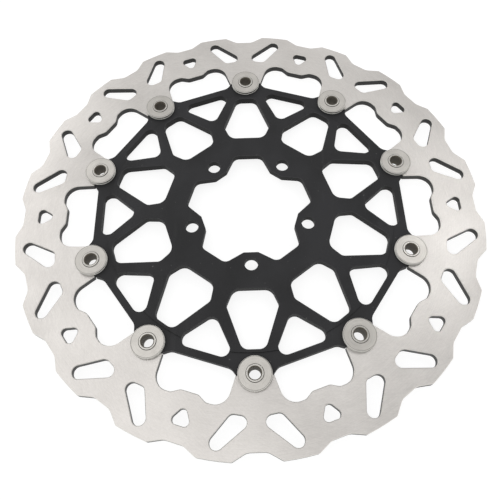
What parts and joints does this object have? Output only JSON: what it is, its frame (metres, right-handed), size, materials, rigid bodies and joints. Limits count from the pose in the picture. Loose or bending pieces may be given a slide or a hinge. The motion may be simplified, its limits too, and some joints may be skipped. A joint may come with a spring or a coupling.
{
  "type": "floating brake disc",
  "caption": "Floating motorcycle brake disc: wavy slotted steel rotor held on a dished black truss carrier by hollow bobbins with flat and spring washers.",
  "frame": {"origin": "centre of the hub bolt circle, on the rear (mounting) face of the carrier's hub", "axes": "+Z along the wheel axle towards the outboard side with the flat washers; +Y through the first bobbin; one bolt hole lies on -Y"},
  "size_m": [0.3086, 0.3086, 0.0102],
  "materials": {
    "rotor_steel": "ground stainless steel, fine surface grinding marks, satin",
    "carrier_anodised": "matt black hard-anodised aluminium plate",
    "bobbin_steel": "turned stainless steel, satin",
    "washer_steel": "flat stainless washer, tumbled satin",
    "spring_steel": "tempered spring steel, dull satin"
  },
  "bodies": {
    "carrier": {"carrier": "carrier_anodised"},
    "rotor": {"rotor": "rotor_steel"},
    "bobbin_01": {"bobbin_01": "bobbin_steel", "flat_washer_01": "washer_steel", "spring_washer_01": "spring_steel"},
    "bobbin_02": {"bobbin_02": "bobbin_steel", "flat_washer_02": "washer_steel", "spring_washer_02": "spring_steel"},
    "bobbin_03": {"bobbin_03": "bobbin_steel", "flat_washer_03": "washer_steel", "spring_washer_03": "spring_steel"},
    "bobbin_04": {"bobbin_04": "bobbin_steel", "flat_washer_04": "washer_steel", "spring_washer_04": "spring_steel"},
    "bobbin_05": {"bobbin_05": "bobbin_steel", "flat_washer_05": "washer_steel", "spring_washer_05": "spring_steel"},
    "bobbin_06": {"bobbin_06": "bobbin_steel", "flat_washer_06": "washer_steel", "spring_washer_06": "spring_steel"},
    "bobbin_07": {"bobbin_07": "bobbin_steel", "flat_washer_07": "washer_steel", "spring_washer_07": "spring_steel"},
    "bobbin_08": {"bobbin_08": "bobbin_steel", "flat_washer_08": "washer_steel", "spring_washer_08": "spring_steel"},
    "bobbin_09": {"bobbin_09": "bobbin_steel", "flat_washer_09": "washer_steel", "spring_washer_09": "spring_steel"},
    "bobbin_10": {"bobbin_10": "bobbin_steel", "flat_washer_10": "washer_steel", "spring_washer_10": "spring_steel"}
  },
  "joints": [
    {"name": "rotor_float", "type": "slide", "parent": "carrier", "child": "rotor", "axis": [0, 0, 1], "range_m": [0, 0.0004], "stiffness_N_per_m": 60000, "springref_m": -0.0004, "deforming": ["spring_washer_01", "spring_washer_02", "spring_washer_03", "spring_washer_04", "spring_washer_05", "spring_washer_06", "spring_washer_07", "spring_washer_08", "spring_washer_09", "spring_washer_10"]},
    {"name": "bobbin_spin_01", "type": "hinge", "parent": "carrier", "child": "bobbin_01", "pos_m": [0, 0.1075, 0], "axis": [0, 0, 1], "continuous": true},
    {"name": "bobbin_spin_02", "type": "hinge", "parent": "carrier", "child": "bobbin_02", "pos_m": [0.06319, 0.08697, 0], "axis": [0, 0, 1], "continuous": true},
    {"name": "bobbin_spin_03", "type": "hinge", "parent": "carrier", "child": "bobbin_03", "pos_m": [0.10224, 0.03322, 0], "axis": [0, 0, 1], "continuous": true},
    {"name": "bobbin_spin_04", "type": "hinge", "parent": "carrier", "child": "bobbin_04", "pos_m": [0.10224, -0.03322, 0], "axis": [0, 0, 1], "continuous": true},
    {"name": "bobbin_spin_05", "type": "hinge", "parent": "carrier", "child": "bobbin_05", "pos_m": [0.06319, -0.08697, 0], "axis": [0, 0, 1], "continuous": true},
    {"name": "bobbin_spin_06", "type": "hinge", "parent": "carrier", "child": "bobbin_06", "pos_m": [0, -0.1075, 0], "axis": [0, 0, 1], "continuous": true},
    {"name": "bobbin_spin_07", "type": "hinge", "parent": "carrier", "child": "bobbin_07", "pos_m": [-0.06319, -0.08697, 0], "axis": [0, 0, 1], "continuous": true},
    {"name": "bobbin_spin_08", "type": "hinge", "parent": "carrier", "child": "bobbin_08", "pos_m": [-0.10224, -0.03322, 0], "axis": [0, 0, 1], "continuous": true},
    {"name": "bobbin_spin_09", "type": "hinge", "parent": "carrier", "child": "bobbin_09", "pos_m": [-0.10224, 0.03322, 0], "axis": [0, 0, 1], "continuous": true},
    {"name": "bobbin_spin_10", "type": "hinge", "parent": "carrier", "child": "bobbin_10", "pos_m": [-0.06319, 0.08697, 0], "axis": [0, 0, 1], "continuous": true}
  ]
}
